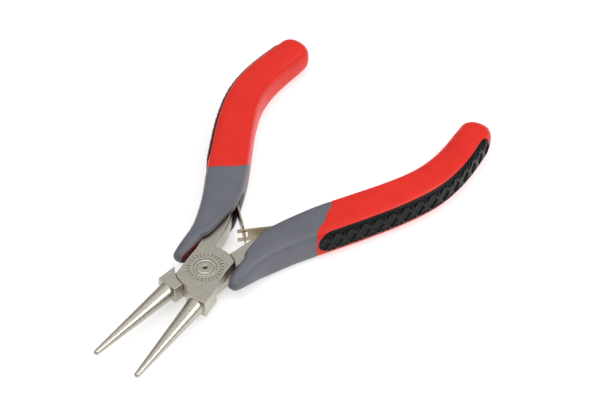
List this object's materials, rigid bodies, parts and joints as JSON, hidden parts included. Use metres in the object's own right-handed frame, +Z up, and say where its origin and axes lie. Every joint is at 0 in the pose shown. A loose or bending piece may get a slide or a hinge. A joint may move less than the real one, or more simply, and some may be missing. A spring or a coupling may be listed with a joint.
{
  "type": "round nose pliers",
  "caption": "Small sprung round nose pliers with tapered round jaws, a lap joint and two-colour moulded handles, for forming wire loops.",
  "frame": {"origin": "middle of the tool's box in plan, on the surface that it lies flat on, with the handles open at rest", "axes": "-Y towards the jaws' tips, +Y towards the handles' ends, +X towards the right handle seen from above, +Z up along the pivot"},
  "size_m": [0.0736, 0.126, 0.0094],
  "materials": {
    "satin_steel": "satin, matt blasted flats and finely ground cones",
    "spring_steel": "bright rolled strip",
    "grey_rubber": "satin soft-touch moulding",
    "red_grip": "satin soft-touch moulding",
    "black_rubber": "studded rubber"
  },
  "bodies": {
    "upper_half": {"jaw_half_upper": "satin_steel", "pivot_rivet": "satin_steel", "spring_rivet_left": "satin_steel", "collar_left": "grey_rubber", "grip_left": "red_grip", "pad_left": "black_rubber"},
    "lower_half": {"jaw_half_lower": "satin_steel", "spring_rivet_right": "satin_steel", "collar_right": "grey_rubber", "grip_right": "red_grip", "pad_right": "black_rubber"},
    "spring_left": {"spring_leaf_left": "spring_steel"},
    "spring_right": {"spring_leaf_right": "spring_steel"}
  },
  "joints": [
    {"name": "handle_pivot", "type": "hinge", "parent": "upper_half", "child": "lower_half", "pos_m": [0, -0.02527, 0.0047], "axis": [0, 0, 1], "range_deg": [-3, 17], "stiffness_Nm_per_rad": 1.2},
    {"name": "spring_right_flex", "type": "hinge", "parent": "lower_half", "child": "spring_right", "pos_m": [0.01161, 0.00303, 0.0047], "axis": [0, 0, 1], "range_deg": [-3, 12], "deforming": ["spring_leaf_right"]},
    {"name": "spring_left_flex", "type": "hinge", "parent": "upper_half", "child": "spring_left", "pos_m": [-0.01161, 0.00303, 0.0047], "axis": [0, 0, 1], "range_deg": [-12, 3], "deforming": ["spring_leaf_left"]}
  ],
  "couplings": [
    {"joint": "spring_right_flex", "follows": "handle_pivot", "ratio": 0.66},
    {"joint": "spring_left_flex", "follows": "handle_pivot", "ratio": -0.66}
  ]
}
